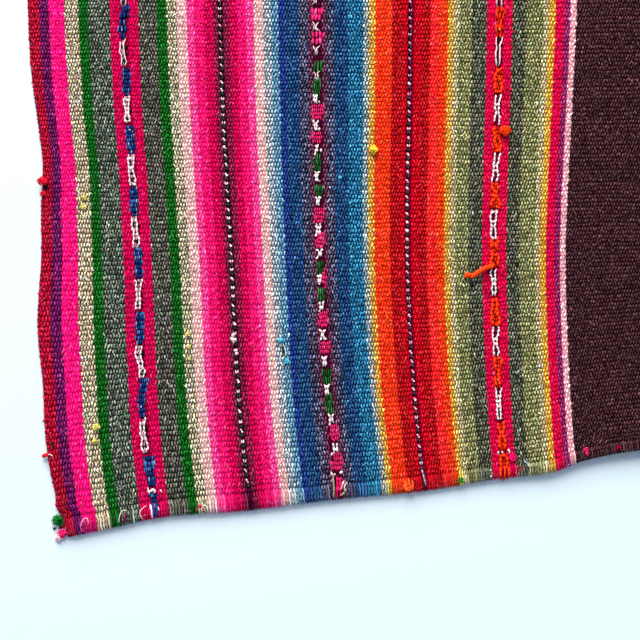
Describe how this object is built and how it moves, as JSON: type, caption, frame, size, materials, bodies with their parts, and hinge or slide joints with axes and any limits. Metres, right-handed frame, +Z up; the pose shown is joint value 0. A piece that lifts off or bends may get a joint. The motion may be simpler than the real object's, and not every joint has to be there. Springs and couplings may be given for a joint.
{
  "type": "aguayo carrying cloth",
  "caption": "Handwoven carrying cloth of striped warp-faced panels sewn side by side, laid flat with soft ripples and one corner drawn out.",
  "frame": {"origin": "middle of the cloth's outline, on the surface that it lies on", "axes": "+Y along the warp to the back end, +Z up out of the cloth; the corner drawn out of square is at -X, -Y"},
  "size_m": [0.9056, 0.983, 0.0076],
  "materials": {
    "striped_wool": "matte handspun wool, warp-striped, with dark brown ground",
    "seam_wool": "matte dark brown wool yarn",
    "green_wool": "fuzzy green wool yarn",
    "pink_wool": "fuzzy pink wool yarn",
    "orange_wool": "two-ply orange wool yarn"
  },
  "bodies": {
    "root": {"panel_left": "striped_wool", "panel_right": "striped_wool", "centre_seam": "seam_wool", "corner_tuft_green": "green_wool", "corner_tuft_pink": "pink_wool", "loose_yarn_end": "orange_wool"}
  },
  "joints": []
}
